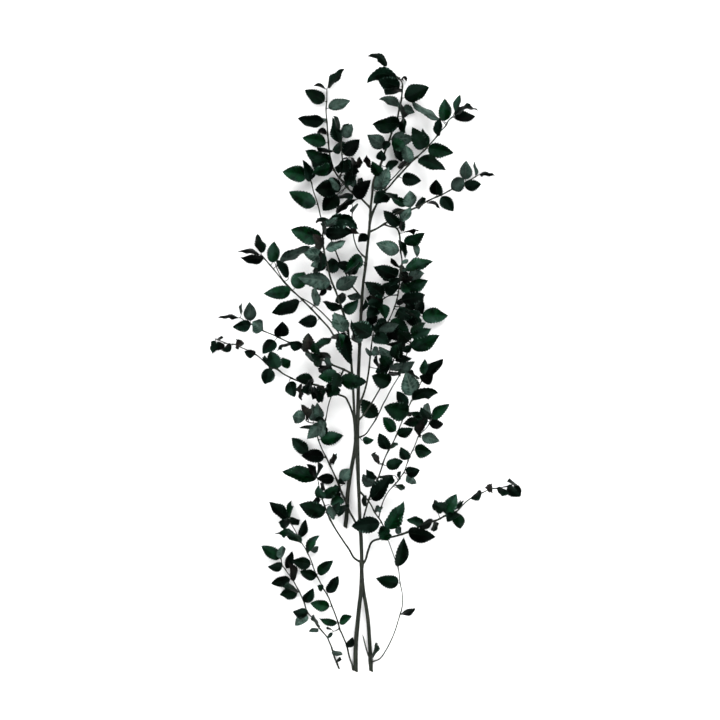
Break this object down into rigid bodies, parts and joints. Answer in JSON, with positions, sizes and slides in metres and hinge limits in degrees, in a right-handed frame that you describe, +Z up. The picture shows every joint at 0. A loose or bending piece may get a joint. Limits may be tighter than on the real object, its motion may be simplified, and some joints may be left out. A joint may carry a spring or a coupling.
{
  "type": "dried ruscus stem",
  "caption": "Loose bunch of leafy dried ruscus stems, laid flat, for arranging in a vase or weaving into a wreath",
  "frame": {"origin": "middle of the footprint, on the surface that the stems lie on", "axes": "+Y from the cut feet to the leafy tops, +X to the right as the stems are seen from above, +Z up from the surface"},
  "size_m": [0.3878, 0.7722, 0.0931],
  "materials": {
    "high_stem": "dry leaves, satin, with dark bark",
    "middle_stem": "dry leaves, satin, with dark bark",
    "low_stem": "dry leaves, satin, with dark bark",
    "inner_left_twig": "dry leaves, satin, with dark bark",
    "outer_left_twig": "dry leaves, satin, with dark bark"
  },
  "bodies": {
    "root": {"high_stem": "high_stem", "middle_stem": "middle_stem", "low_stem": "low_stem", "inner_left_twig": "inner_left_twig", "outer_left_twig": "outer_left_twig"}
  },
  "joints": []
}
